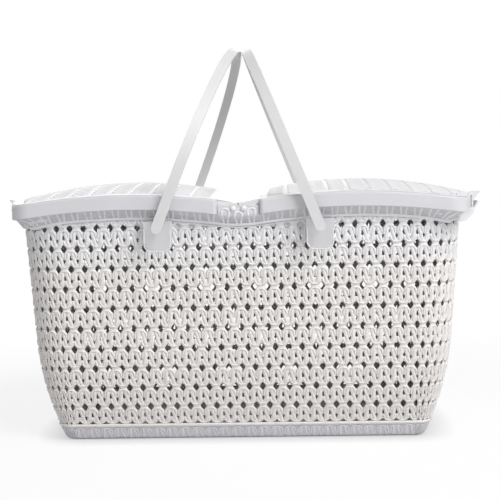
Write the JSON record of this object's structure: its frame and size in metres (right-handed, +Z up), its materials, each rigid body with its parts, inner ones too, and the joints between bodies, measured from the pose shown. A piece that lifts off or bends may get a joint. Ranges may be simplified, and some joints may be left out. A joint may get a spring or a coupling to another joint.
{
  "type": "lidded laundry basket",
  "caption": "Openwork knit-pattern plastic basket with domed hinged lid flaps, hoop handles that lean together over the middle, and end catches.",
  "frame": {"origin": "middle of the basket's footprint, on the floor", "axes": "+X along the basket's length towards its right end, +Z up, the front long side faces -Y"},
  "size_m": [0.5916, 0.3776, 0.4729],
  "materials": {
    "basket_body": "moulded polypropylene, warm pale grey, fine satin texture",
    "lids": "moulded polypropylene, warm pale grey, fine satin texture",
    "handles": "moulded polypropylene, warm pale grey, smooth satin",
    "hinge_pins": "moulded polypropylene, as the basket"
  },
  "bodies": {
    "basket": {"base_tray": "basket_body", "wall_front": "basket_body", "wall_back": "basket_body", "wall_right": "basket_body", "wall_left": "basket_body", "corner_front_right": "basket_body", "corner_front_left": "basket_body", "corner_back_right": "basket_body", "corner_back_left": "basket_body", "rim_front": "basket_body", "rim_back": "basket_body", "rim_right": "basket_body", "rim_left": "basket_body", "catch_right": "basket_body", "catch_left": "basket_body", "lid_hinge_pins": "hinge_pins"},
    "lid_left": {"lid_shell_left": "lids", "lid_skirt_left": "lids", "lid_latch_left": "lids"},
    "lid_right": {"lid_shell_right": "lids", "lid_skirt_right": "lids", "lid_latch_right": "lids"},
    "handle_left": {"handle_left": "handles"},
    "handle_right": {"handle_right": "handles"}
  },
  "joints": [
    {"name": "handle_left_pivot", "type": "hinge", "parent": "basket", "child": "handle_left", "pos_m": [-0.0918, 0, 0.251], "axis": [0, -1, 0], "range_deg": [0, 80]},
    {"name": "handle_right_pivot", "type": "hinge", "parent": "basket", "child": "handle_right", "pos_m": [0.0918, 0, 0.251], "axis": [0, 1, 0], "range_deg": [0, 80]},
    {"name": "lid_left_hinge", "type": "hinge", "parent": "basket", "child": "lid_left", "pos_m": [-0.008, 0, 0.27381], "axis": [0, 1, 0], "range_deg": [0, 40]},
    {"name": "lid_right_hinge", "type": "hinge", "parent": "basket", "child": "lid_right", "pos_m": [0.008, 0, 0.27381], "axis": [0, -1, 0], "range_deg": [0, 40]}
  ]
}
